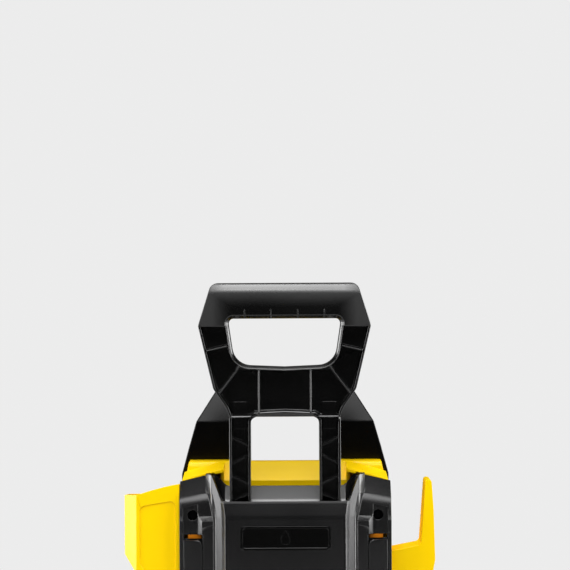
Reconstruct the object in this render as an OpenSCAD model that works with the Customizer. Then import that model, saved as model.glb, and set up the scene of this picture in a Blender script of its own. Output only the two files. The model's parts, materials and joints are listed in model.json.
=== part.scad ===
// Upright cold-water pressure washer on two wheels: telescopic pull handle, fixed carry bow,
// lance holster, hose hook, and a vertical motor over a three-piston swash-plate pump.
// The operator's side faces -Y, +X is to the right of it, +Z is up.
// The origin is on the floor under the middle of the machine. Millimetres.

/* [Pull handle] */
// Height of the stowed handle's top above the floor
handle_top = 549; // [545:1:553]
// How far the handle pulls out
handle_travel = 234; // [200:1:236]
// Half-width of the gap between the two struts
strut_in = 31.2; // [31:0.1:31.4]
// Half-width over the two struts
strut_out = 50.6; // [50.4:0.1:50.7]
// Wall left around the handle's pockets
handle_rim = 2.3; // [1.8:0.1:3]
// Thickness of the handle's ribs
handle_rib = 1.5; // [1.2:0.1:2]
// Height between repeats of the strut ribs
strut_rib_pitch = 34.9; // [30:0.1:40]
// How far the strut ribs stand back from the handle's face
strut_rib_drop = 6; // [2:0.5:12]

/* [Body] */
// Half-width of the body
body_w = 96.5; // [96:0.1:96.8]
// Wall thickness of the yellow housing
wall = 3; // [2.5:0.1:3.5]
// Top of the flat seat under the carry bow
plateau_z = 380; // [379:0.5:381]
// Top of the base tray, where the covers start
base_top = 97; // [97:0.5:98]
// Underside of the base tray
base_low = 15; // [14:0.5:16]
// Thickness of the rubber feet, which reach the floor
foot_h = 15; // [14:0.5:16]

/* [Rear panel] */
// Half-width of the raised middle face
panel_mid_w = 54.5; // [54:0.1:55]
// Top edge of the middle face
panel_top = 351; // [349:0.5:352]
// Height of the fixing screws
panel_screw_z = 336.4; // [335:0.2:338]
// Half-distance between the fixing screws
panel_screw_x = 85; // [84.5:0.1:85.5]
// Top edge of the two long inserts
insert_top = 314.2; // [313:0.2:315]

/* [Wheels] */
// Outer radius of the tyre, which is also the axle's height
wheel_r = 65; // [64:0.5:66]
// Distance of the axle behind the middle of the machine
axle_back = 75; // [74:0.5:75]
// Radius of the axle
axle_r = 4; // [3.9:0.1:4]
// Radial running clearance of the wheel hubs and other shafts
running_gap = 0.05; // [0.03:0.01:0.08]

/* [Motor and pump] */
// Motor shaft's distance in front of the middle
motor_y = 30; // [29:0.5:31]
// Gear module
gear_module = 1.25; // [1.2:0.05:1.3]
// Teeth on the motor pinion
pinion_teeth = 12; // [11:1:13]
// Teeth on the drive gear
drive_teeth = 48; // [47:1:49]
// Radius of the three pistons
piston_r = 5; // [4.5:0.1:5.2]
// Radius of the circle that the pistons stand on
piston_ring = 18; // [17.5:0.1:18.5]
// Tilt of the swash disc's face in degrees
swash_tilt = 8; // [6:0.5:8]

/* [Front fittings] */
// Height of the rotary switch
knob_z = 192; // [190:1:194]
// Sideways offset of the outlet, to the left
outlet_x = 32; // [31:0.5:33]
// Height of the high-pressure outlet
outlet_z = 134; // [133:0.5:135]
// Bore of the high-pressure outlet
outlet_bore_r = 7; // [6.5:0.1:7.2]
// Sideways offset of the inlet, to the right
inlet_x = 32; // [31:0.5:33]
// Height of the water inlet
inlet_z = 130; // [129:0.5:131]
// Radius of the inlet nipple
nipple_r = 8.4; // [8:0.1:8.6]

/* [Hidden] */
$fn = 48;

yellow = [1.0, 0.85, 0.0];
panel_grey = [0.13, 0.13, 0.14];
handle_black = [0.06, 0.06, 0.06];
tray_black = [0.08, 0.08, 0.08];
steel = [0.7, 0.7, 0.72];
copper_brown = [0.5, 0.3, 0.16];
brass = [0.75, 0.6, 0.3];
rubber_black = [0.05, 0.05, 0.05];
alloy = [0.62, 0.63, 0.65];

// handle planes: ribbed face towards the operator, flat back towards the body
handle_face_y = -99.5;
handle_back_y = -75;
handle_web = 3;
grip_face_y = -101;
grip_back_y = -73;
strut_low = 78;
arch_z = handle_top - 121.8;
grip_low = handle_top - 39.5;

// guide sleeves of the struts
guide_gap = 0.3;
guide_low = 74;
guide_top = 345;
guide_rear_y = -101.3;
guide_out_y = -70;
stop_h = 12;
stop_low = strut_low + 2;
collar_z = stop_low + stop_h + handle_travel + 0.5;
well_floor_z = 338;

// body planes
panel_face_y = -105;
panel_back_y = -70.5;
well_wall_y = -60;
well_back_y = -57;
body_front_y = 122;
lip_y = -56.7;
near_front_y = -25;

// motor and pump levels
gear_y = motor_y - gear_module * (pinion_teeth + drive_teeth) / 2;
gear_z = 184;
gear_h = 10;
swash_z = 172;
swash_r = 27;
shoe_r = 8;
shoe_top = swash_z - (piston_ring + shoe_r) * tan(swash_tilt) - 0.4;
spring_floor = 132;
block_low = 96;
block_top = 150;
head_low = 62;
pump_r = 34;
shaft_r = 4;
bearing_r = 11;
can_low = 206;
can_top = 330;
knob_face_y = 112;
piston_angles = [90, 210, 330];

// ---- helpers ----

// a Y-Z outline swept along X
module along_x(x0, x1) translate([x0, 0, 0]) rotate([90, 0, 90]) linear_extrude(x1 - x0) children();

// an X-Z outline swept along Y
module along_y(y0, y1) translate([0, y1, 0]) rotate([90, 0, 0]) linear_extrude(y1 - y0) children();

// an X-Y outline swept along Z
module along_z(z0, z1) translate([0, 0, z0]) linear_extrude(z1 - z0) children();

module rod_x(r, x0, x1) translate([x0, 0, 0]) rotate([0, 90, 0]) cylinder(r = r, h = x1 - x0);

module rod_y(r, y0, y1) translate([0, y0, 0]) rotate([-90, 0, 0]) cylinder(r = r, h = y1 - y0);

module rod_z(r, z0, z1) translate([0, 0, z0]) cylinder(r = r, h = z1 - z0);

module tube_z(r_out, r_in, z0, z1) difference() {
    rod_z(r_out, z0, z1);
    rod_z(r_in, z0 - 1, z1 + 1);
}

module block(low, high) translate(low) cube(high - low);

module both_sides() {
    children();
    mirror([1, 0, 0]) children();
}

module round_out(r) offset(r = r) offset(r = -r) children();

module round_in(r) offset(r = -r) offset(r = r) children();

// a closed outline from the points of its right half
module symmetric(points) polygon(concat(points,
    [for (i = [len(points) - 1:-1:0]) [-points[i][0], points[i][1]]]));

// a straight rib of a given width between two points of a flat outline
module rib(p, q, w) let (d = q - p, n = [-d[1], d[0]] / norm(d) * w / 2)
    polygon([p + n, q + n, q - n, p - n]);

module gear_outline(teeth, bore_r) let (
    pitch_r = gear_module * teeth / 2, root_r = pitch_r - 1.3 * gear_module,
    tip_r = pitch_r + gear_module, step = 360 / teeth)
difference() {
    polygon([for (i = [0:teeth - 1]) each [
        for (s = [[root_r, -0.34], [pitch_r, -0.23], [tip_r, -0.11],
                  [tip_r, 0.11], [pitch_r, 0.23], [root_r, 0.34]])
        s[0] * [cos((i + s[1]) * step), sin((i + s[1]) * step)]]]);
    circle(r = bore_r);
}

// ---- pull handle ----

module handle_outline() round_in(22) round_out(8) symmetric([
    [66.5, handle_top], [78.7, handle_top - 39], [65, handle_top - 96.3],
    [strut_out, handle_top - 117.5], [strut_out, strut_low]]);

// the grip opening is spanned by circles: across, below the handle's top, radius
grip_rounds = [[46.2, 37.5, 5], [-46.2, 37.5, 5], [30.5, 58, 17.5], [-30.5, 58, 17.5], [0, 64.8, 12]];

module grip_opening() hull() for (g = grip_rounds)
    translate([g[0], handle_top - g[1]]) circle(r = g[2], $fn = 40);

// soft edge all round the front of the grip opening
module grip_bevel() hull() for (g = grip_rounds)
    translate([g[0], grip_face_y - 0.5, handle_top - g[1]]) rotate([-90, 0, 0])
        cylinder(r1 = g[2] + 3.5, r2 = g[2], h = 5, $fn = 40);

module strut_gap() round_out(6) translate([-strut_in, 0]) square([2 * strut_in, arch_z]);

// solid lip over the gap between the struts
module arch_lip() symmetric([[strut_in, arch_z - 5], [strut_in, arch_z + 2], [28, arch_z + 4],
                             [14, arch_z + 4.8], [0, arch_z + 5.3]]);

module handle_frame() difference() {
    handle_outline();
    grip_opening();
    strut_gap();
}

module strut_ribs() for (k = [0:8]) let (z = handle_top - 140.6 - k * strut_rib_pitch) {
    rib([strut_out, z], [strut_in, z - 8.5], handle_rib);
    rib([strut_in, z - 16], [strut_out, z - 25], handle_rib);
}

module handle_ribs() {
    rib([45, handle_top - 55.3], [76, handle_top - 62.6], handle_rib);
    rib([37, handle_top - 70], [64, handle_top - 106], handle_rib);
    rib([23.6, handle_top - 74], [23.6, handle_top - 118], handle_rib);
    rib([strut_in - 1, arch_z + 0.4], [strut_out + 1, arch_z + 0.4], handle_rib);
    strut_ribs();
}

module handle_pockets() difference() {
    offset(delta = -handle_rim) handle_frame();
    translate([-100, grip_low]) square([200, 60]);
    offset(delta = 3.3) grip_opening();
    arch_lip();
    both_sides() handle_ribs();
}

module handle_side() {
    intersection() {
        translate([grip_face_y, handle_top - 60]) round_out(10) square([grip_back_y - grip_face_y, 60]);
        translate([grip_face_y, grip_low]) square(60);
    }
    translate([handle_face_y, 0]) square([handle_back_y - handle_face_y, grip_low + 5]);
}

module handle_moulding() difference() {
    intersection() {
        along_y(grip_face_y, grip_back_y) handle_frame();
        along_x(-90, 90) handle_side();
    }
    along_y(grip_face_y - 1, handle_back_y - handle_web) handle_pockets();
    along_y(handle_face_y - 1, handle_face_y + strut_rib_drop) intersection() {
        offset(delta = -handle_rim) handle_frame();
        translate([-60, 0]) square([120, handle_top - 124]);
    }
    grip_bevel();
    block([-26, grip_face_y, arch_z - 1], [26, handle_face_y + 2.4, arch_z + 2.6]);
    both_sides() for (z = [330, 330 - handle_travel]) translate([strut_out + 0.7, 0, z])
        rod_y(2, handle_face_y - 1, handle_back_y + 1);
}

// tongue of a strut inside the grip's lower pocket, grown by a clearance all round
module strut_tongue(gap) block([strut_in + 3.4 - gap, -83.4 - gap, arch_z - 12],
                               [strut_out - 3.4 + gap, handle_back_y - handle_web, arch_z + 13 + gap]);

// upper moulding with the grip, on top of the two struts
module handle_grip() color(handle_black) difference() {
    handle_moulding();
    block([-100, -110, 0], [100, -60, arch_z - 0.3]);
    both_sides() strut_tongue(0.1);
}

// two struts with their tongues above and their end stops below
module handle_struts() color(handle_black) {
    intersection() {
        handle_moulding();
        block([-60, -110, 0], [60, -60, arch_z - 0.3]);
    }
    both_sides() {
        strut_tongue(0);
        block([strut_in + 2.4, handle_back_y - 1, stop_low],
              [strut_out - 2.4, handle_back_y + 2.8, stop_low + stop_h]);
    }
}

module handle_guide() difference() {
    union() {
        block([strut_in - 2.2, guide_rear_y, guide_low], [strut_out + 2.2, guide_out_y, guide_top]);
        block([strut_in - 4, -96, well_floor_z + 3.2], [strut_out + 4, guide_out_y, guide_top]);
    }
    block([strut_in - guide_gap, handle_face_y - guide_gap, guide_low - 1],
          [strut_out + guide_gap, handle_back_y + guide_gap, guide_top + 1]);
    block([strut_in + 1.4, handle_back_y - 1, guide_low - 1],
          [strut_out - 1.4, handle_back_y + 3.3, collar_z]);
    translate([strut_out + 2.5, 0, 330]) rod_y(2.2, -96, -78);
}

module handle_guides() color(tray_black) both_sides() handle_guide();

module handle_detents() color(steel) both_sides() translate([strut_out + 2.6, 0, 330]) rod_y(2, -95, -79);

// ---- rear panel ----

// middle face with its outer riser
module panel_middle() intersection() {
    along_z(base_top + 0.3, panel_top) polygon([[-63, -91.6], [-panel_mid_w, panel_face_y],
                                                [panel_mid_w, panel_face_y], [63, -91.6]]);
    along_x(-70, 70) polygon([[-90, 90], [panel_face_y - 1, 90], [panel_face_y - 1, 336],
                              [panel_face_y, 336], [-102, panel_top], [-102, 360], [-90, 360]]);
}

module band_low() polygon([[50, -103.1], [63.5, -97], [69, -86], [69, -80], [50, -80]]);

module band_knee() polygon([[54.5, -99.6], [68, -93.5], [73, -83.5], [73, -78], [54.5, -78]]);

module band_top() polygon([[60, -92.5], [68, -89], [73, -79.5], [73, -70.6], [60, -70.6]]);

// bevel band beside the middle face, which leans outwards above the knee
module panel_band() {
    along_z(base_top + 0.3, 336) band_low();
    hull() {
        along_z(335.9, 336) band_low();
        along_z(357, 357.1) band_knee();
    }
    hull() {
        along_z(357, 357.1) band_knee();
        along_z(373.9, 374) band_top();
    }
}

// outer face with the leaning facets of the shoulder: crease, face, rounded knee and top
module panel_shoulder() {
    along_z(base_top + 0.3, 332) polygon([[60, -93.2], [97, -88], [97, panel_back_y], [60, panel_back_y]]);
    hull() {
        along_x(60, 60.1) polygon([[-93.2, 330], [-93.2, 331.5], [-91.5, 337], [panel_back_y, 337],
                                   [panel_back_y, 330]]);
        along_x(96.9, 97) polygon([[-88, 320], [-88, 331], [-87, 335], [panel_back_y, 335],
                                   [panel_back_y, 320]]);
    }
    hull() {
        along_x(60, 60.1) polygon([[-91.5, 336.9], [-89.3, 352.5], [-87, 358], [-74, 375.3],
                                   [panel_back_y, 375.3], [panel_back_y, 336.9]]);
        along_x(96.9, 97) polygon([[-87, 334.9], [-84.8, 348], [-82.4, 353.5], [-71.5, 366.3],
                                   [panel_back_y, 366.3], [panel_back_y, 334.9]]);
    }
}

// the open well that the struts come out of
module well_opening() along_y(-110, -69) symmetric([[58.2, panel_top], [69.8, 378.6]]);

module well_silhouette() symmetric([[66, well_floor_z], [66, 372.6], [63.5, 371.2], [56.6, 363.2],
                                    [54.2, 361.2], [51, 360.7]]);

module panel_well() {
    difference() {
        along_z(well_floor_z, well_floor_z + 3) symmetric([
            [52.5, -102.5], [56, -97.2], [62, -94], [64.8, -89.7], [66, -83], [66, well_back_y]]);
        both_sides() block([strut_in - 2.4, -110, well_floor_z - 1],
                           [strut_out + 2.4, guide_out_y + 0.2, 350]);
    }
    intersection() {
        along_y(well_wall_y, well_back_y) well_silhouette();
        block([-66, -70, well_floor_z], [66, 0, 400]);
    }
    along_x(-56, 56) polygon([[-69.6, well_floor_z], [-69.6, 347], [well_wall_y, 360.5],
                              [well_wall_y, well_floor_z]]);
    both_sides() along_y(-74, well_back_y)
        polygon([[61, well_floor_z], [69, well_floor_z], [69, 371.5], [65.5, 371.5]]);
}

module panel_hollow() along_z(base_top, 334) symmetric([
    [52.5, -102], [55.8, -96.9], [62.3, -93.9], [64.5, -89.7], [72.5, -88.8], [72.5, -79.5],
    [94, -79.5], [94, -50]]);

// the open space around the struts inside the top of the panel
module well_space() along_z(333, 360) symmetric([[52.5, -102], [55.8, -96.9], [57, -93], [57, -60]]);

// pocket of the insert, with a sloping inner wall beside the screw above it
module insert_pocket() intersection() {
    along_y(-110, -83) round_out(2) polygon([[75.5, 101], [75.5, 347.8], [94, 343.6], [94, 101]]);
    union() {
        block([70, -111, 100], [100, -80, insert_top + 5]);
        along_z(insert_top + 4, 350) polygon([[75.3, -111], [75.3, -91.4], [80.3, -88.3], [80.9, -82],
                                              [100, -82], [100, -111]]);
    }
}

module rear_panel() color(panel_grey) difference() {
    union() {
        difference() {
            union() {
                panel_middle();
                both_sides() {
                    panel_band();
                    panel_shoulder();
                }
            }
            panel_hollow();
            well_space();
            well_opening();
            both_sides() {
                insert_pocket();
                block([76, -79.5, 325], [94, -60, 357]);
                block([76.4, -84, insert_top + 0.8], [93, -78, insert_top + 4.8]);
            }
        }
        panel_well();
        both_sides() translate([panel_screw_x, 0, panel_screw_z]) rod_y(7.6, -80, panel_back_y);
    }
    both_sides() translate([panel_screw_x, 0, panel_screw_z]) {
        rod_y(4.8, -90, -74);
        rod_y(2.2, -75, -60);
    }
}

module panel_inserts() color(panel_grey) both_sides() intersection() {
    along_z(103, insert_top) polygon([[76, -83.3], [76, -91.7], [93.4, -88.8], [93.4, -83.3]]);
    along_y(-100, -80) round_out(5) translate([76, 60]) square([22.4, insert_top - 60]);
    block([76, -100, 100], [93.4, -80, 320]);
}

module badge_plate() color(handle_black) difference() {
    along_y(-106.4, panel_face_y) round_out(3) translate([-41, 307]) square([82, 21.5]);
    along_y(-108, -105.8) difference() {
        round_out(2) translate([-39, 309]) square([78, 17.5]);
        translate([0, 316.3]) circle(r = 4.2);
        polygon([[-3.9, 318], [0, 325], [3.9, 318]]);
    }
}

module rear_screws() color(steel) both_sides() translate([panel_screw_x, 0, panel_screw_z]) {
    rod_y(4.2, -78, -74);
    rod_y(2, -74, -58);
}

// ---- yellow housing ----

module body_plan() {
    round_out(30) translate([-body_w, -20]) square([2 * body_w, body_front_y + 20]);
    translate([-body_w, -70.2]) square([2 * body_w, 80]);
}

module body_side() round_out(6) polygon([
    [-200, base_top + 0.2], [-200, 345], [near_front_y, 345], [near_front_y, plateau_z], [60, plateau_z],
    [84, 362], [108, 272], [118, 185], [body_front_y, base_top + 0.2]]);

module body_end() symmetric([[body_w, base_top + 0.2], [body_w, 352], [91, plateau_z]]);

module shoulder_end() symmetric([[body_w, 250], [body_w, 364], [95, 370.8], [78, 376.3], [58, 380.8]]);

// upper part over the rear panel: rounded shoulders that drop a little towards the operator
module shoulder_cap(inset) intersection() {
    translate([0, near_front_y, 375]) rotate([4.5, 0, 0]) translate([0, -near_front_y, -375])
        along_y(-90, 0) offset(delta = -inset) shoulder_end();
    block([-100, -70.2 - inset, 330], [100, near_front_y + inset, 400]);
}

module body_solid(inset) {
    intersection() {
        along_z(90, 400) offset(delta = -inset) body_plan();
        along_x(-100, 100) offset(delta = -inset) body_side();
        along_y(-72, 130) offset(delta = -inset) body_end();
    }
    shoulder_cap(inset);
}

// hollow scooped out behind the struts
module scoop() along_x(-57, 57) polygon([
    [-90, 300], [lip_y, 300], [lip_y, 365.5], [-27, 381.6], [-27, 400], [-90, 400]]);

module housing_cavity() difference() {
    union() {
        body_solid(wall);
        block([-body_w + wall, -72, base_top - 1], [body_w - wall, -60, 350]);
        block([-body_w + wall, -60, base_top - 1], [body_w - wall, 0, base_top + 10]);
        along_z(base_top - 1, base_top + 10) offset(delta = -wall) body_plan();
    }
    scoop_wall();
    crown_dish(wall);
}

// the wall that stays under the scooped surface
module scoop_wall() intersection() {
    along_x(-60, 60) polygon([[lip_y - 0.1, 340], [lip_y + wall, 340], [lip_y + wall, 362.3],
                              [-24, 379], [-24, 400], [lip_y - 0.1, 400]]);
    block([-60, -80, 340], [60, 0, 400]);
}

module well_clearance() along_y(-80, lip_y) symmetric([
    [69.5, 330], [69.5, 372], [66.4, 374.2], [63.4, 371.8], [56.4, 363.8], [54, 361.7], [51, 361.2]]);

// the crown falls away to the front between the legs of the carry bow, as room for a hand
module crown_dish(drop) along_x(-44 - drop, 44 + drop) translate([0, plateau_z - drop])
    polygon([[-16, 5 + drop], [-16, 0], [4, -1.2], [30, -4.6], [62, -10.5], [84, -18.5], [84, 5 + drop]]);

module vent_slots() for (i = [0:7]) along_y(20 + i * 9, 24 + i * 9)
    translate([body_w - 6, 200]) square([10, 60]);

module housing_tongue() {
    block([77, -84.4, insert_top + 1.1], [89.4, -66, insert_top + 4.5]);
    block([88, -70.2, 312], [body_w - 1, -62, 327]);
}

module front_housing() color(yellow) {
    difference() {
        body_solid(0);
        housing_cavity();
        scoop();
        crown_dish(0);
        well_clearance();
        fascia_cut();
        vent_slots();
        both_sides() translate([panel_screw_x, 0, panel_screw_z]) rod_y(2.1, -71, -50);
    }
    both_sides() {
        housing_tongue();
        difference() {
            translate([panel_screw_x, 0, panel_screw_z]) rod_y(7, -70.2, -56);
            translate([panel_screw_x, 0, panel_screw_z]) rod_y(2.1, -71, -50);
        }
        block([91, -70.2, 333], [body_w - 1, -56, 340]);
    }
}

module fascia_cut() along_y(100, 140) round_out(10) translate([-57.4, base_top - 20]) square([114.8, 159.4]);

// ---- carry bow ----

module bow_outline() round_out(9) symmetric([
    [58, 458.5], [72.5, 435.8], [85, 416.5], [92, 392.3], [99, 366.2], [99, 330]]);

module bow_gap() round_out(12) translate([-45, 340]) square([90, 92]);

module bow_side() round_out(6) polygon([[0, 330], [0, 416.5], [24, 459], [50, 459], [50, 330]]);

module carry_handle() color(handle_black) difference() {
    intersection() {
        along_y(0, 50) difference() {
            bow_outline();
            bow_gap();
        }
        along_x(-100, 100) bow_side();
        block([-100, -1, 352], [100, 60, 470]);
    }
    along_y(-1, 60) symmetric([[96.8, 340], [96.8, 352], [91.3, plateau_z + 0.3]]);
    intersection() {
        along_y(0, 50) offset(delta = -wall) difference() {
            bow_outline();
            bow_gap();
        }
        along_x(-88, 88) offset(delta = -wall) bow_side();
    }
}

// ---- base, feet and side fittings ----

module base_plan() round_out(20) translate([-body_w, panel_face_y])
    square([2 * body_w, body_front_y - panel_face_y]);

module at_axle() translate([0, -axle_back, wheel_r]) children();

module base_posts() for (a = piston_angles) translate([24 * cos(a), gear_y + 24 * sin(a), 0])
    rod_z(9, base_low + 1, 48);

module chassis_base() color(tray_black) difference() {
    union() {
        difference() {
            along_z(base_low, base_top) base_plan();
            along_z(base_low + 3.5, base_top + 1) offset(delta = -wall) base_plan();
        }
        both_sides() {
            at_axle() rod_x(9, body_w - 8, 103.4);
            for (x = [18, 60]) block([x, -102.5, base_low + 1], [x + 3, -56, 71]);
        }
        base_posts();
    }
    at_axle() rod_x(axle_r, -110, 110);
    both_sides() translate([68, 92, 0]) rod_z(5, 0, 40);
    translate([0, 70, 60]) rod_x(7, -110, -80);
}

module front_feet() color(rubber_black) both_sides() translate([68, 92, 0]) {
    rod_z(15, 0, foot_h);
    rod_z(5, foot_h, 18.5);
    rod_z(8, 18.5, 21);
}

module holster_plan() polygon([[-97.3, -79.5], [-137, -79.5], [-149, -62], [-149, -12],
                               [-141, -1.5], [-97.3, -1.5]]);

module holster_front() polygon([[-97.3, 216], [-97.3, 364.6], [-110.3, 362.4], [-124, 358.8],
                                [-136.5, 354.8], [-149, 354.8], [-149, 300.2], [-137.7, 283.6], [-112, 236]]);

// swept along Y with the far end lower, so that the rim drops away from the operator
module holster_sweep() translate([0, -79.5, 355]) rotate([-5, 0, 0]) translate([0, 79.5, -355])
    along_y(-95, 25) children();

module gun_holster() color(yellow) difference() {
    intersection() {
        along_z(190, 380) holster_plan();
        holster_sweep() holster_front();
    }
    intersection() {
        along_z(190, 390) offset(delta = -2.6) holster_plan();
        holster_sweep() union() {
            offset(delta = -2.6) holster_front();
            translate([-146.4, 306]) square([47, 70]);
        }
    }
    along_y(-85, -78) round_out(5) polygon([[-101, 235], [-101, 349.4], [-124, 345.9], [-134, 343.8],
                                            [-134, 293], [-112, 250]]);
}

module hook_outline() round_in(4) round_out(2.5) polygon([
    [97.3, 232], [97.3, 300.6], [125.3, 306.1], [129.8, 366], [135.4, 366], [137.2, 338],
    [138.4, 292], [136, 280], [114, 243]]);

module hose_hook() color(yellow) difference() {
    along_y(-66, -32) hook_outline();
    along_y(-62, -30) offset(delta = -2.5) hook_outline();
}

module lance_holder() color(tray_black) difference() {
    along_z(150, 172) round_out(12) translate([84, 10]) square([42, 66]);
    block([70, 0, 140], [96.8, 90, 180]);
    for (y = [26, 60]) translate([111, y, 0]) rod_z(11, 140, 180);
}

module cable_gland() color(handle_black) translate([0, 70, 60]) difference() {
    union() {
        rod_x(9, -112, -body_w);
        rod_x(7, -97, -92);
        rod_x(12, -93.5, -89);
    }
    rod_x(4, -120, -80);
}

// ---- front fascia and fittings ----

module fascia_outline() round_out(10) translate([-57, base_top + 4]) square([114, 134.5]);

module front_fascia() color(tray_black) difference() {
    intersection() {
        along_y(108, 130) fascia_outline();
        along_x(-60, 60) body_side();
    }
    along_y(knob_face_y, 140) offset(delta = -2.5) fascia_outline();
    translate([0, 0, knob_z]) rod_y(4.3, 100, 120);
    translate([-outlet_x, 0, outlet_z]) rod_y(15.2, 100, 120);
    translate([inlet_x, 0, inlet_z]) rod_y(13.3, 100, 120);
}

module switch_knob() color([0.55, 0.55, 0.57]) translate([0, 0, knob_z]) {
    rod_y(24, knob_face_y + 0.6, 118);
    along_y(118, 131) round_out(3) translate([-6, -23]) square([12, 46]);
    rod_y(4, 92, knob_face_y + 0.6);
}

module switch_box() color("dimgray") difference() {
    block([-18, 84, knob_z - 18], [18, 107.8, knob_z + 18]);
    translate([0, 0, knob_z]) rod_y(4.2, 90, 110);
}

module outlet_fitting() color(tray_black) translate([-outlet_x, 0, outlet_z]) difference() {
    union() {
        rod_y(15, 62, 126);
        rod_y(19, 104, 107.8);
    }
    rod_y(outlet_bore_r, 102, 130);
    rod_y(3, 50, 110);
    block([-7, 113.5, 10], [7, 122.5, 20]);
}

module outlet_clip() color([0.75, 0.1, 0.08]) translate([-outlet_x, 0, outlet_z])
    block([-6.5, 114, 12.8], [6.5, 122, 21]);

module inlet_fitting() color(tray_black) translate([inlet_x, 0, inlet_z]) difference() {
    union() {
        rod_y(13.2, 92, 118);
        rod_y(17, 104, 107.8);
        rod_y(7, 72, 92);
    }
    rod_y(9, 95, 120);
    rod_y(4, 60, 100);
}

module inlet_strainer() color("whitesmoke") translate([inlet_x, 0, inlet_z]) difference() {
    union() {
        rod_y(8.9, 114, 116);
        rod_y(6.8, 97, 114);
    }
    rod_y(5.6, 98.4, 120);
    for (i = [0:4]) for (a = [0, 90]) rotate([0, a, 0])
        block([-10, 100 + i * 2.8, -3.5], [10, 101.4 + i * 2.8, 3.5]);
}

module inlet_adapter() color(yellow) translate([inlet_x, 0, inlet_z]) difference() {
    union() {
        rod_y(16.6, 113, 124);
        rod_y(nipple_r, 124, 140);
        for (a = [0:30:330]) rotate([0, a, 0]) translate([16.4, 0, 0]) rod_y(1.2, 114, 123);
    }
    rod_y(13.25, 112, 118.4);
    rod_y(5, 118, 141);
    difference() {
        rod_y(10, 134, 136.4);
        rod_y(7.4, 133, 137);
    }
}

// ---- wheels ----

// wheel profiles are drawn as (distance along the axle, radius)
module turned(points) at_axle() rotate([0, 90, 0]) rotate_extrude($fn = 72)
    polygon([for (p = points) [p[1], p[0]]]);

module wheel_axle() color(steel) at_axle() rod_x(axle_r, -141, 141);

module axle_clips() color(steel) both_sides()
    turned([[137, axle_r], [138.4, axle_r], [138.4, 8], [137, 8]]);

module wheel_rim() color([0.1, 0.1, 0.1]) difference() {
    union() {
        turned([[104, axle_r + running_gap], [136, axle_r + running_gap], [136, 12], [121, 12], [121, 46],
                [140, 48], [140, 52], [108, 52], [108, 48], [117, 46], [117, 12], [104, 12]]);
        at_axle() for (a = [30:60:330]) rotate([a, 0, 0]) block([109, -1.5, 11], [119, 1.5, 47.5]);
    }
    at_axle() for (a = [0:60:300]) rotate([a, 0, 0]) translate([0, 0, 37]) rod_x(6, 100, 130);
}

module wheel_tyre() color(rubber_black) turned([
    [108, 52.05], [140, 52.05], [141, 54], [141, 61], [138, wheel_r], [131, wheel_r], [130, 63.4],
    [128, 63.4], [127, wheel_r], [121, wheel_r], [120, 63.4], [118, 63.4], [117, wheel_r],
    [110, wheel_r], [107, 61], [107, 54]]);

module wheel_cap() color(yellow) turned([
    [149, 0], [148.2, 14], [145.6, 24], [140.8, 31], [121.1, 31], [121.1, 29], [139.8, 29],
    [143.8, 22.5], [146.6, 0]]);

// ---- motor ----

module at_motor() translate([0, motor_y, 0]) children();

module motor_can() color(steel) at_motor() difference() {
    rod_z(45, can_low, can_top);
    rod_z(42.6, can_low + 4, can_top + 1);
    rod_z(bearing_r + 0.1, can_low - 1, can_low + 5);
    for (a = [45:90:315]) rotate(a) block([30, -9, 211], [50, 9, 227]);
}

module stator() color(copper_brown) at_motor() difference() {
    rod_z(42.5, 236, 296);
    rod_z(27.5, 230, 300);
    for (a = [0, 180]) rotate(a) block([27, -12, 230], [36, 12, 300]);
}

module motor_end_shield() color(tray_black) at_motor() difference() {
    union() {
        rod_z(45, can_top, 335);
        rod_z(15, 335, 346);
    }
    rod_z(bearing_r, 337, 350);
    rod_z(6, can_top - 1, 340);
}

module motor_bearings() color(steel) at_motor() {
    tube_z(bearing_r, shaft_r + running_gap, 200, 207);
    tube_z(bearing_r, shaft_r + running_gap, 337, 344);
}

module brush_holders() color(brass) at_motor() for (a = [0, 180]) rotate(a) difference() {
    block([17, -5, 306], [42, 5, 318]);
    block([16, -3.1, 308.4], [40, 3.1, 315.6]);
}

module carbon_brushes() color([0.15, 0.15, 0.15]) at_motor() for (a = [0, 180]) rotate(a)
    block([14.6, -3, 308.5], [32, 3, 315.5]);

module armature_shaft() color(steel) at_motor() rod_z(shaft_r, 182, 343);

module armature_core() color(copper_brown) at_motor() difference() {
    rod_z(26.8, 238, 294);
    rod_z(shaft_r, 230, 300);
    for (a = [0:30:330]) rotate(a) block([21, -1.6, 230], [30, 1.6, 300]);
}

module commutator() color(copper_brown) at_motor() difference() {
    rod_z(14, 303, 321);
    rod_z(shaft_r, 300, 330);
    for (a = [0:30:330]) rotate(a) block([13, -0.3, 300], [15, 0.3, 330]);
}

module cooling_fan() color(tray_black) at_motor() {
    tube_z(9, shaft_r, 212, 226);
    tube_z(38, 8, 212, 213.6);
    for (a = [0:40:320]) rotate(a) block([8.5, -0.8, 213], [37, 0.8, 226]);
}

// turned by half a tooth, so that a gap faces the drive gear's tooth
module motor_pinion() color(steel) at_motor() rotate(90 + 180 / pinion_teeth + 180)
    along_z(gear_z - 1, gear_z + gear_h + 1) gear_outline(pinion_teeth, shaft_r);

// ---- gearbox and pump ----

module at_pump() translate([0, gear_y, 0]) children();

module gearbox_plan(r_pump, r_motor) {
    translate([0, gear_y]) circle(r = r_pump);
    translate([0, motor_y]) circle(r = r_motor);
}

module gearbox_housing() color(alloy) difference() {
    along_z(block_top, can_low) gearbox_plan(42, 20);
    along_z(block_top - 1, 200) gearbox_plan(38.5, 14);
    at_motor() rod_z(bearing_r, 190, can_low + 1);
    at_pump() rod_z(5, 190, 204);
}

module drive_gear() color("ivory") at_pump() rotate(90) along_z(gear_z, gear_z + gear_h)
    gear_outline(drive_teeth, 5 + running_gap);

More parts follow.
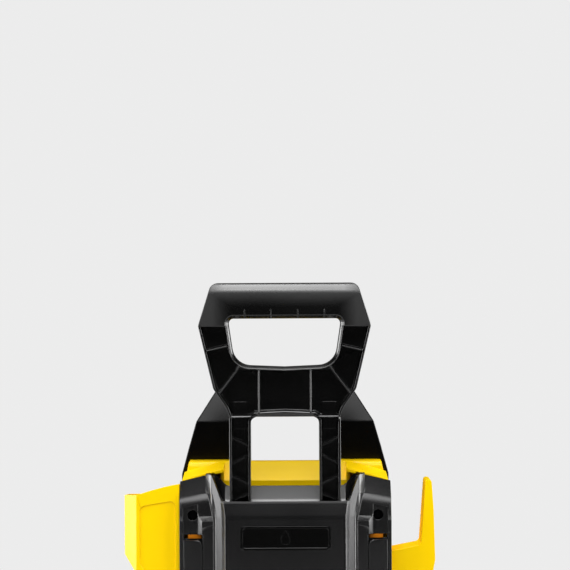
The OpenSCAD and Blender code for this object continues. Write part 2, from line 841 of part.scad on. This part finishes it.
module swash_disc() color(steel) at_pump() difference() {
    rod_z(swash_r, swash_z - 6, gear_z);
    rod_z(5 + running_gap, swash_z - 10, gear_z + 1);
    translate([0, 0, swash_z]) rotate([0, -swash_tilt, 0]) block([-40, -40, -30], [40, 40, 0]);
}

module gear_spindle() color(steel) at_pump() rod_z(5, 130, 204);

module at_pistons() at_pump() for (a = piston_angles) rotate(a) translate([piston_ring, 0, 0]) children();

module pump_block() color(alloy) difference() {
    at_pump() union() {
        rod_z(pump_r, block_low, block_top);
        rod_z(42, block_top - 6, block_top);
    }
    at_pistons() {
        rod_z(piston_r + running_gap, block_low - 1, block_top + 1);
        rod_z(9, spring_floor, block_top + 1);
    }
    at_pump() rod_z(5, 130, block_top + 1);
}

module piston(angle) color("white") at_pump() rotate(angle) translate([piston_ring, 0, 0]) {
    rod_z(piston_r, 108, shoe_top - 5);
    rod_z(shoe_r, shoe_top - 6, shoe_top);
}

module piston_springs() color(steel) at_pistons() {
    for (i = [0:5]) tube_z(7.6, 6, spring_floor + i * 4.7, spring_floor + 1.6 + i * 4.7);
    block([6.1, -0.6, spring_floor], [7.5, 0.6, spring_floor + 25]);
}

module cylinder_head() color(alloy) difference() {
    at_pump() {
        rod_z(pump_r, head_low, block_low);
        translate([-16, 0, 79]) rod_y(8, 0, 41.5);
        translate([16, 0, 79]) rod_y(9, 0, 41.5);
    }
    at_pump() {
        translate([-16, 0, 79]) rod_y(5, 20, 42);
        translate([16, 0, 79]) rod_y(6, 20, 42);
        for (a = piston_angles) rotate(a) translate([0, 0, 79]) rod_x(5, 26, 40);
    }
}

module valve_caps() color(brass) at_pump() for (a = [210, 330]) rotate(a) translate([0, 0, 79]) {
    rod_x(5, 26, 34);
    rotate([0, 90, 0]) translate([0, 0, 34]) cylinder(r = 7.5, h = 5, $fn = 6);
}

module rubber_mounts() color(rubber_black) for (a = piston_angles)
    translate([24 * cos(a), gear_y + 24 * sin(a), 0]) rod_z(9, 48, head_low);

// route of a hose from a port low on the pump, forward, up, sideways and forward again,
// with square elbows; the bend stands at (port_x, bend_y)
module hose_route(r, port_x, bend_y, end_x, end_y, end_z) {
    translate([port_x, 0, 79]) rod_y(r, gear_y + 32, bend_y + r);
    translate([port_x, bend_y, 0]) rod_z(r, 79 - r, end_z + r);
    translate([0, bend_y, end_z]) rod_x(r, min(port_x, end_x) - r, max(port_x, end_x) + r);
    translate([end_x, 0, end_z]) rod_y(r, bend_y - r, end_y);
}

module suction_pipe() color([0.2, 0.2, 0.22]) difference() {
    hose_route(6, 16, 50, inlet_x, 72, inlet_z);
    hose_route(4, 16, 50, inlet_x, 73, inlet_z);
}

module pressure_pipe() color(steel) difference() {
    hose_route(5, -16, 46, -outlet_x, 62, outlet_z);
    hose_route(3, -16, 46, -outlet_x, 63, outlet_z);
}

module unloader_valve() color(brass) at_pump() translate([0, 0, 79]) rod_x(9, -62, -pump_r);

module microswitch() color(tray_black) block([-84, gear_y - 8, 70], [-64, gear_y + 8, 96]);

module capacitor() color("lightgray") translate([62, 66, 0]) rod_z(16, 112, 168);

rear_panel();
panel_inserts();
badge_plate();
rear_screws();
front_housing();
carry_handle();
chassis_base();
front_feet();
handle_guides();
handle_detents();
gun_holster();
hose_hook();
lance_holder();
front_fascia();
switch_box();
outlet_fitting();
inlet_fitting();
inlet_strainer();
inlet_adapter();
cable_gland();
wheel_axle();
axle_clips();
handle_grip();
handle_struts();
mirror([1, 0, 0]) wheel_rim();  // wheel_rim_left
mirror([1, 0, 0]) wheel_tyre();  // wheel_tyre_left
mirror([1, 0, 0]) wheel_cap();  // wheel_cap_left
wheel_rim();  // wheel_rim_right
wheel_tyre();  // wheel_tyre_right
wheel_cap();  // wheel_cap_right
switch_knob();
outlet_clip();
motor_can();
stator();
motor_end_shield();
motor_bearings();
brush_holders();
carbon_brushes();
armature_shaft();
armature_core();
commutator();
cooling_fan();
motor_pinion();
gearbox_housing();
drive_gear();
swash_disc();
gear_spindle();
pump_block();
cylinder_head();
piston(piston_angles[0]);  // piston_1
piston(piston_angles[1]);  // piston_2
piston(piston_angles[2]);  // piston_3
piston_springs();
valve_caps();
rubber_mounts();
suction_pipe();
pressure_pipe();
unloader_valve();
microswitch();
capacitor();
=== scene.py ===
"""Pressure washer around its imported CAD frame. Metres; +Z up, the operator's side faces -Y."""
import json
import math

import bmesh
import bpy
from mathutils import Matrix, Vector


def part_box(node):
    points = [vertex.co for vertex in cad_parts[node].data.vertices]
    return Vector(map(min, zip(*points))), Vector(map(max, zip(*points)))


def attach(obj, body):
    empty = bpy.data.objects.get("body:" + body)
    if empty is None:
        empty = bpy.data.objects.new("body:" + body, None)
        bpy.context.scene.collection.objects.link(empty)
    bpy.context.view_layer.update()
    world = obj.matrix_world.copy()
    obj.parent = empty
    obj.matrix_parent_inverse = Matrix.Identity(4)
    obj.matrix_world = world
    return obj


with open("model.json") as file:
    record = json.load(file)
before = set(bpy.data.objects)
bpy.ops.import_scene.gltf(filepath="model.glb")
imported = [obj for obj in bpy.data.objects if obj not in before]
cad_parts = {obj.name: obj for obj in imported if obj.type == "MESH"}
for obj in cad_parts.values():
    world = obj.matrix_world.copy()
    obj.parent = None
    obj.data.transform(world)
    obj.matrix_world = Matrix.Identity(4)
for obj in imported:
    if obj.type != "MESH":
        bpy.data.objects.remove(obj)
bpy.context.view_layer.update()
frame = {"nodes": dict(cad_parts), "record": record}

MM = 0.001
NODES = frame["nodes"]


# ---------------------------------------------------------------- material parts

def new_material(name):
    """An empty node material, and a short way to add linked nodes to it."""
    mat = bpy.data.materials.new(name)
    mat.use_nodes = True
    tree = mat.node_tree
    tree.nodes.clear()

    def add(kind, inputs=None, **settings):
        node = tree.nodes.new(kind)
        for key, value in settings.items():
            setattr(node, key, value)
        for key, value in (inputs or {}).items():
            if isinstance(value, bpy.types.NodeSocket):
                tree.links.new(value, node.inputs[key])
            else:
                node.inputs[key].default_value = value
        return node

    return mat, add


def ramp(add, source, low, high, start=0.0, end=1.0):
    """Goes from low to high as the source goes from start to end."""
    return add("ShaderNodeMapRange", {
        "Value": source, "From Min": start, "From Max": end, "To Min": low, "To Max": high,
    }).outputs["Result"]


def grain(add, scale, detail=2.0):
    """Noise in the object's own space; scale is cells per metre."""
    where = add("ShaderNodeTexCoord").outputs["Object"]
    return add("ShaderNodeTexNoise", {"Vector": where, "Scale": scale, "Detail": detail}).outputs["Fac"]


def combine(add, operation, *values):
    """Several values multiplied, added or compared, one after another."""
    result = values[0]
    for value in values[1:]:
        result = add("ShaderNodeMath", {0: result, 1: value}, operation=operation).outputs[0]
    return result


def mix(add, factor, first, second):
    """A blend of two colours."""
    node = add("ShaderNodeMix", {"Factor": factor, "A": first, "B": second}, data_type="RGBA")
    return node.outputs["Result"]


def shaded(colour, factor, lift=0.0):
    """A paler or deeper version of a colour, with its alpha."""
    return (*[min(1.0, c * factor + lift) for c in colour], 1)


# ---------------------------------------------------------------- places on a moulding
# Each mask is 1 at its place and 0 elsewhere. Heights and distances are in millimetres.

def place_of(add):
    """The point's distance from the middle plane, its Y and its Z."""
    split = add("ShaderNodeSeparateXYZ", {"Vector": add("ShaderNodeTexCoord").outputs["Object"]})
    aside = add("ShaderNodeMath", {0: split.outputs["X"]}, operation="ABSOLUTE").outputs[0]
    return aside, split.outputs["Y"], split.outputs["Z"]


def rising(add, value, start, end):
    return ramp(add, value, 0.0, 1.0, start * MM, end * MM)


def falling(add, value, start, end, low=0.0):
    return ramp(add, value, 1.0, low, start * MM, end * MM)


def handled(add):
    """Where hands dull the grip: the crossbar's upper edge and ends, and the opening's lower rim."""
    aside, _, up = place_of(add)
    upper_edge = combine(add, "MULTIPLY", rising(add, up, 527, 539), falling(add, up, 539.5, 542.5, 0.35))
    bar_ends = combine(add, "MULTIPLY", rising(add, aside, 48, 66), rising(add, up, 509.3, 509.7))
    lower_rim = combine(add, "MULTIPLY", rising(add, up, 469, 469.6), falling(add, up, 476, 479),
                        falling(add, aside, 36, 48))
    return combine(add, "MAXIMUM", upper_edge, bar_ends, lower_rim)


def sheltered(add):
    """The panel's well and its lip, where nothing rubs the moulded grain smooth."""
    aside, _, up = place_of(add)
    return combine(add, "MULTIPLY", rising(add, up, 348.5, 350), falling(add, aside, 54, 60))


def tongue_end_shade(add):
    """Painted shade: the ends of the housing's two tongues, which sit in shadow in the panel's recesses,
    are blended to a dark orange-brown.
    """
    aside, along, up = place_of(add)
    across = combine(add, "MULTIPLY", rising(add, aside, 66, 67), falling(add, aside, 94, 95))
    upright = combine(add, "MULTIPLY", rising(add, up, 310, 311), falling(add, up, 327, 328))
    return combine(add, "MULTIPLY", across, upright, falling(add, along, -76, -75))


# ---------------------------------------------------------------- materials

DULLING = 0.27  # roughness that handling or shelter adds
# Dark orange-brown painted onto the yellow where the tongue ends sit in shadow: painted shade.
TONGUE_SHADE_COLOUR = (0.42, 0.13, 0.004)


def plastic(name, colour, rough, grain_size=0.5, grain_depth=0.012, mottle=0.06, spread=0.08,
            wear=0.0, coat=0.0, specular=0.5, dull=None, painted_shade=None):
    """Moulded plastic: eroded-tool grain, cloudy dye, uneven gloss and paler handled edges.

    Grain sizes are in millimetres. dull is a roughness mask from the section above; the last mask marks
    painted shade, where the colour is blended to a dark orange-brown."""
    mat, add = new_material(name)
    cloud = ramp(add, grain(add, 22.0, 4.0), 0.0, 1.0, 0.3, 0.7)
    tint = mix(add, cloud, shaded(colour, 1 - mottle), shaded(colour, 1 + mottle))
    if wear:
        edge = add("ShaderNodeNewGeometry").outputs["Pointiness"]
        edge_mask = ramp(add, edge, 0.0, 1.0, 0.53, 0.62)
        patches = ramp(add, grain(add, 90.0, 5.0), 0.0, 1.0, 0.45, 0.65)
        scuffs = combine(add, "MULTIPLY", edge_mask, patches, wear)
        tint = mix(add, scuffs, tint, shaded(colour, 1.6, 0.05))
    # Painted shade: the colour turns dark orange-brown where the mask marks shadowed places.
    if painted_shade:
        tint = mix(add, painted_shade(add), tint, (*TONGUE_SHADE_COLOUR, 1))
    gloss = ramp(add, grain(add, 9.0, 6.0), rough - spread, rough + spread, 0.3, 0.7)
    if dull:
        gloss = combine(add, "ADD", gloss, combine(add, "MULTIPLY", dull(add), DULLING))
    bump = add("ShaderNodeBump", {
        "Height": grain(add, 1.0 / (grain_size * MM), 2.0), "Distance": grain_depth * MM, "Strength": 1.0})
    shader = add("ShaderNodeBsdfPrincipled", {
        "Base Color": tint, "Roughness": gloss, "Normal": bump.outputs["Normal"],
        "Coat Weight": coat, "Coat Roughness": 0.12, "Specular IOR Level": specular})
    add("ShaderNodeOutputMaterial", {"Surface": shader.outputs["BSDF"]})
    return mat


def metal(name, colour, rough, stretch=(1, 1, 30), scale=400.0, depth=0.02, spots=0.0):
    """Machined, drawn or cast metal: stretched tool marks, depth in millimetres, and dull patches."""
    mat, add = new_material(name)
    where = add("ShaderNodeTexCoord").outputs["Object"]
    lines = add("ShaderNodeMapping", {"Vector": where, "Scale": stretch}).outputs["Vector"]
    marks = add("ShaderNodeTexNoise", {"Vector": lines, "Scale": scale, "Detail": 3.0}).outputs["Fac"]
    cloud = ramp(add, grain(add, 60.0, 5.0), 0.0, 1.0, 0.35, 0.65)
    tint = mix(add, cloud, shaded(colour, 0.86 - spots), (*colour, 1))
    bump = add("ShaderNodeBump", {"Height": marks, "Distance": depth * MM, "Strength": 0.6})
    shader = add("ShaderNodeBsdfPrincipled", {
        "Base Color": tint, "Metallic": 1.0,
        "Roughness": ramp(add, marks, rough - 0.08, rough + 0.12, 0.3, 0.7),
        "Normal": bump.outputs["Normal"]})
    add("ShaderNodeOutputMaterial", {"Surface": shader.outputs["BSDF"]})
    return mat


PULL_BLACK = dict(
    colour=(0.0005, 0.0005, 0.0005), rough=0.2, grain_size=0.9, grain_depth=0.003,
    mottle=0.1, spread=0.04, wear=0.2, specular=0.95)

MAT = {
    # The yellow carries painted shade on the ends of its two tongues.
    "yellow": plastic(
        "yellow_plastic", (0.97, 0.635, 0.0), 0.32, grain_size=0.7, grain_depth=0.008,
        mottle=0.02, spread=0.05, wear=0.1, specular=0.15, painted_shade=tongue_end_shade),
    "panel": plastic(
        "panel_grey_plastic", (0.0018, 0.0018, 0.002), 0.24, grain_size=0.45, grain_depth=0.008,
        mottle=0.05, spread=0.04, wear=0.3, specular=1.0, dull=sheltered),
    "handle": plastic("handle_black_plastic", **PULL_BLACK),
    "grip": plastic("grip_black_plastic", dull=handled, **PULL_BLACK),
    "bow": plastic(
        "bow_black_plastic", (0.001, 0.001, 0.001), 0.26, grain_size=0.9, grain_depth=0.004,
        mottle=0.1, spread=0.04, wear=0.1, specular=0.16),
    "tray": plastic(
        "tray_black_plastic", (0.016, 0.016, 0.017), 0.52, grain_size=0.5, grain_depth=0.025,
        mottle=0.15, spread=0.08, wear=0.4),
    "badge": plastic(
        "badge_gloss_black", (0.001, 0.001, 0.001), 0.12, grain_size=1.0, grain_depth=0.002,
        mottle=0.1, spread=0.04, coat=0.5),
    "rubber": plastic(
        "black_rubber", (0.012, 0.012, 0.012), 0.72, grain_size=0.8, grain_depth=0.03,
        mottle=0.2, spread=0.1, wear=0.3),
    "tyre": plastic(
        "tyre_rubber", (0.018, 0.018, 0.018), 0.78, grain_size=1.1, grain_depth=0.05,
        mottle=0.25, spread=0.08, wear=0.5),
    "grey": plastic(
        "knob_grey_plastic", (0.16, 0.16, 0.17), 0.38, grain_size=0.6, grain_depth=0.010,
        mottle=0.05, spread=0.06, wear=0.3),
    "red": plastic(
        "clip_red_plastic", (0.5, 0.02, 0.015), 0.34, grain_size=0.6, grain_depth=0.008,
        mottle=0.05, spread=0.06, wear=0.2),
    "white": plastic(
        "natural_white_plastic", (0.62, 0.61, 0.56), 0.42, grain_size=0.5, grain_depth=0.01,
        mottle=0.04),
    "carbon": plastic(
        "pressed_carbon", (0.03, 0.03, 0.032), 0.5, grain_size=0.3, grain_depth=0.03, mottle=0.2),
    "steel": metal("zinc_plated_steel", (0.55, 0.56, 0.58), 0.3),
    # The rear screws are real, but their near-black colour is painted shade, standing in for the shadow
    # deep in their wells.
    "screw": metal("steel_painted_recess_shade", (0.006, 0.006, 0.007), 0.5),
    "laminations": metal(
        "varnished_laminations", (0.22, 0.15, 0.10), 0.45, stretch=(1, 1, 40), scale=60.0, depth=0.08),
    "copper": metal("copper_segments", (0.75, 0.38, 0.22), 0.28),
    "brass": metal("turned_brass", (0.72, 0.53, 0.22), 0.27, stretch=(30, 30, 1)),
    "alloy": metal(
        "die_cast_alloy", (0.5, 0.5, 0.52), 0.48, stretch=(1, 1, 1), scale=700.0, depth=0.05, spots=0.1),
}

# The material for each slot of the CAD record, and the nodes with a finish of their own.
FINISH = {
    "housing_yellow": "yellow", "panel_grey": "panel", "handle_black": "handle", "tray_black": "tray",
    "badge_black": "badge", "knob_grey": "grey", "clip_red": "red", "white_plastic": "white",
    "rubber": "rubber", "tyre": "tyre", "steel": "steel", "laminated_steel": "laminations",
    "copper": "copper", "brass": "brass", "cast_alloy": "alloy", "carbon": "carbon",
}
OWN_FINISH = {"carry_handle": "bow", "handle_grip": "grip", "rear_screws": "screw"}


def paint(obj, mat):
    """Gives an object one material only."""
    obj.data.materials.clear()
    obj.data.materials.append(mat)


# ---------------------------------------------------------------- soft edges on the CAD nodes

# Rounding of each node's sharp edges, in millimetres.
USUAL_EDGE = 0.3
EDGE = {
    "badge_plate": 0.1, "handle_struts": 0.2, "rear_panel": 0.35, "front_housing": 0.4,
    "hose_hook": 0.4, "inlet_adapter": 0.4, "panel_inserts": 0.5, "gun_holster": 0.5,
    "outlet_fitting": 0.5, "chassis_base": 0.6, "outlet_clip": 0.6, "cable_gland": 0.6,
    "wheel_cap_left": 0.6, "wheel_cap_right": 0.6, "wheel_rim_left": 0.6, "wheel_rim_right": 0.6,
    "front_fascia": 0.7, "handle_grip": 0.72, "lance_holder": 0.8, "front_feet": 0.8,
    "switch_knob": 0.9, "carry_handle": 1.0,
}

# Edges with a wider rounding: a name, a line in millimetres and the rounding's width.
STRUT_RIM_X = (50.6, 48.3, 33.5, 31.2)
WIDE_EDGES = {
    "handle_struts": [
        (f"rim_{i}", ((x, -99.5, 78), (x, -99.5, 427)), 0.6) for i, x in enumerate(STRUT_RIM_X)],
    "rear_panel": [
        ("riser", ((54.5, -105, 97), (54.5, -105, 351)), 2.4),
        ("ridge", ((63.5, -97, 97), (63.5, -97, 336), (68, -93.5, 357), (68, -89, 374)), 1.8),
    ],
}
ON_LINE = 0.3 * MM  # how near a corner has to be to a line to count as on it


def near_line(point, line):
    """Distance from a point to a polyline, on either side of the machine."""
    here = Vector((abs(point[0]), point[1], point[2]))
    gaps = []
    for a, b in zip(line, line[1:]):
        along = (b - a).normalized()
        part = min(max((here - a).dot(along), 0.0), (b - a).length)
        gaps.append((here - a - along * part).length)
    return min(gaps)


def round_line(obj, name, line, width):
    """A wider rounding along one moulded edge."""
    points = [Vector(p) * MM for p in line]
    group = obj.vertex_groups.new(name=name)
    close = [v.index for v in obj.data.vertices if near_line(v.co, points) < ON_LINE]
    group.add(close, 1.0, "REPLACE")
    bevel = obj.modifiers.new(name, "BEVEL")
    bevel.width = width * MM
    bevel.segments = 4
    bevel.limit_method = "VGROUP"
    bevel.vertex_group = name
    bevel.use_clamp_overlap = False


def soften(obj, width, segments=2, angle=28.0):
    """Rounds a node's sharp edges without touching its own mesh: joins the split corners, merges flat
    faces, splits them into even triangles, bevels what is sharper than the angle and weights the
    normals by face area."""
    for face in obj.data.polygons:
        face.use_smooth = True
    weld = obj.modifiers.new("join", "WELD")
    weld.merge_threshold = 0.002 * MM
    flat = obj.modifiers.new("flat", "DECIMATE")
    flat.decimate_type = "DISSOLVE"
    flat.angle_limit = math.radians(0.6)
    for name, line, wide in WIDE_EDGES.get(obj.name, ()):
        round_line(obj, name, line, wide)
    obj.modifiers.new("split", "TRIANGULATE")
    bevel = obj.modifiers.new("soft", "BEVEL")
    bevel.width = width * MM
    bevel.segments = segments
    bevel.limit_method = "ANGLE"
    bevel.angle_limit = math.radians(angle)
    bevel.miter_outer = "MITER_ARC"
    bevel.use_clamp_overlap = False
    normals = obj.modifiers.new("even", "WEIGHTED_NORMAL")
    normals.weight = 80
    normals.keep_sharp = True


def finish_nodes():
    """Every CAD node gets its material and its soft edges."""
    slot_of = {part["node"]: part["material_slot"] for part in frame["record"]["subparts"]}
    for name, obj in NODES.items():
        finish = OWN_FINISH.get(name, FINISH[slot_of[name]])
        paint(obj, MAT[finish])
        soften(obj, EDGE.get(name, USUAL_EDGE))


# ---------------------------------------------------------------- small moulded details

RIGHT = Vector((1, 0, 0))
UP = Vector((0, 0, 1))
TO_FRONT = Vector((0, 1, 0))
TO_OPERATOR = Vector((0, -1, 0))


def new_piece(name, bm, mat, body):
    """Turns a bmesh into a finished piece that moves with a body."""
    mesh = bpy.data.meshes.new(name)
    bmesh.ops.recalc_face_normals(bm, faces=bm.faces)
    bm.to_mesh(mesh)
    bm.free()
    obj = bpy.data.objects.new(name, mesh)
    bpy.context.scene.collection.objects.link(obj)
    for face in mesh.polygons:
        face.use_smooth = True
    paint(obj, MAT[mat])
    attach(obj, body)
    return obj


def bar_outline(length, width, steps=8):
    """Outline of a flat bar with round ends, along the second axis."""
    side = width / 2
    points = []
    for middle, start in ((length / 2 - side, 0), (side - length / 2, 180)):
        for i in range(steps + 1):
            turn = math.radians(start + 180 * i / steps)
            points.append((side * math.cos(turn), middle + side * math.sin(turn)))
    return points


def add_bar(bm, place, out, length, width, height):
    """A raised upright bar with round ends and a crowned top; its foot lies just under the surface."""
    crown = ((-0.2 * MM, 0.0), (0.6 * height, 0.0), (0.9 * height, 0.15), (height, 0.45))
    rings = []
    for rise, shrink in crown:
        ring = []
        for u, v in bar_outline(length - shrink * width, width * (1 - shrink)):
            ring.append(bm.verts.new(place + RIGHT * u + UP * v + out * rise))
        rings.append(ring)
    for low, high in zip(rings, rings[1:]):
        for i in range(len(low)):
            j = (i + 1) % len(low)
            bm.faces.new((low[i], low[j], high[j], high[i]))
    bm.faces.new(rings[-1])
    bm.faces.new(rings[0][::-1])


def add_grip_marks():
    """Four short upright ribs on the lower edge of the grip's crossbar."""
    face_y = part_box("handle_grip")[0][1]
    height_on_bar = 520.8 * MM
    bm = bmesh.new()
    for x in (-36.2, -12.2, 12.2, 36.2):
        place = Vector((x * MM, face_y, height_on_bar))
        add_bar(bm, place, TO_OPERATOR, length=8.4 * MM, width=1.1 * MM, height=0.35 * MM)
    new_piece("grip_marks", bm, "handle", "pull_handle")


def add_knob_mark():
    """White pointer on the upper end of the rotary switch's ridge."""
    low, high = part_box("switch_knob")
    place = Vector(((low[0] + high[0]) / 2, high[1], high[2] - 8 * MM))
    bm = bmesh.new()
    add_bar(bm, place, TO_FRONT, length=9 * MM, width=2.2 * MM, height=0.3 * MM)
    new_piece("knob_pointer", bm, "white", "switch")


# ---------------------------------------------------------------- camera, lights, floor

PANEL_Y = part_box("rear_panel")[0][1]
CAMERA_DISTANCE = 1.8
CAMERA_HEIGHT = 0.547
CAMERA_ASIDE = 0.0007
CAMERA_ROLL = 0.3  # degrees
VIEW_WIDTH = 0.516  # of the picture, at the panel's face
SENSOR = 36.0  # millimetres

BACKDROP = (0.84, 0.84, 0.84, 1)
FILL_STRENGTH = 0.035

FLOOR_RADIUS = 1.5
FLOOR_DARK = (0.42, 0.42, 0.42, 1)
FLOOR_PALE = (0.46, 0.46, 0.46, 1)

# Name, place, target, size and watts. The side lights stand beyond the machine and outline it, the
# front ones light the yellow, the strip marks the crossbar and the glow the panel's upper facets.
LIGHTS = (
    ("left_side", (-1.6, 0.5, 0.53), (0, 0.5, 0.53), (1.3, 1.04), 27),
    ("right_side", (1.6, 0.5, 0.53), (0, 0.5, 0.53), (1.3, 1.04), 27),
    ("left_front", (-1.75, -1.2, 0.72), (0, -0.05, 0.72), (0.8, 1.36), 17),
    ("right_front", (1.75, -1.2, 0.72), (0, -0.05, 0.72), (0.8, 1.36), 16),
    ("top_strip", (0.0, -0.45, 2.1), (0, -0.2, 0.4), (0.66, 2.6), 38),
    ("front_glow", (0.0, -1.72, 1.74), (0, -0.1, 0.36), (2.7, 0.85), 22),
)


def add_camera():
    """Level camera straight behind the operator's side, framing VIEW_WIDTH at the panel."""
    cam = bpy.data.cameras.new("camera")
    cam.sensor_width = SENSOR
    cam.lens = SENSOR * CAMERA_DISTANCE / VIEW_WIDTH
    cam.clip_start = 0.05
    obj = bpy.data.objects.new("camera", cam)
    bpy.context.scene.collection.objects.link(obj)
    obj.location = (CAMERA_ASIDE, PANEL_Y - CAMERA_DISTANCE, CAMERA_HEIGHT)
    obj.rotation_euler = (math.radians(90), math.radians(CAMERA_ROLL), 0)
    bpy.context.scene.camera = obj


def add_light(name, place, target, size, power):
    """A rectangular soft light that faces its target."""
    data = bpy.data.lights.new(name, "AREA")
    data.shape = "RECTANGLE"
    data.size, data.size_y = size
    data.energy = power
    obj = bpy.data.objects.new(name, data)
    bpy.context.scene.collection.objects.link(obj)
    obj.location = place
    away = Vector(target) - Vector(place)
    obj.rotation_euler = away.to_track_quat("-Z", "Y").to_euler()


def add_world():
    """Pale grey to the camera; dimmer as a light, so that black plastic stays black."""
    world = bpy.data.worlds.new("studio")
    world.use_nodes = True
    bpy.context.scene.world = world
    tree = world.node_tree
    tree.nodes.clear()
    seen = tree.nodes.new("ShaderNodeBackground")
    seen.inputs["Color"].default_value = BACKDROP
    fill = tree.nodes.new("ShaderNodeBackground")
    fill.inputs["Color"].default_value = BACKDROP
    fill.inputs["Strength"].default_value = FILL_STRENGTH
    path = tree.nodes.new("ShaderNodeLightPath")
    blend = tree.nodes.new("ShaderNodeMixShader")
    out = tree.nodes.new("ShaderNodeOutputWorld")
    tree.links.new(path.outputs["Is Camera Ray"], blend.inputs["Fac"])
    tree.links.new(fill.outputs["Background"], blend.inputs[1])
    tree.links.new(seen.outputs["Background"], blend.inputs[2])
    tree.links.new(blend.outputs["Shader"], out.inputs["Surface"])


def add_floor():
    """A round, pale, faintly speckled studio floor."""
    mesh = bpy.data.meshes.new("floor")
    bm = bmesh.new()
    bmesh.ops.create_circle(bm, cap_ends=True, radius=FLOOR_RADIUS, segments=96)
    bm.to_mesh(mesh)
    bm.free()
    obj = bpy.data.objects.new("floor", mesh)
    bpy.context.scene.collection.objects.link(obj)
    mat, add = new_material("pale_floor")
    tint = mix(add, grain(add, 40.0, 3.0), FLOOR_DARK, FLOOR_PALE)
    shader = add("ShaderNodeBsdfPrincipled", {"Base Color": tint, "Roughness": 0.9})
    add("ShaderNodeOutputMaterial", {"Surface": shader.outputs["BSDF"]})
    paint(obj, mat)


# ---------------------------------------------------------------- the scene

finish_nodes()
add_grip_marks()
add_knob_mark()
add_camera()
add_world()
add_floor()
for light in LIGHTS:
    add_light(*light)
bpy.context.scene.view_settings.view_transform = "Standard"
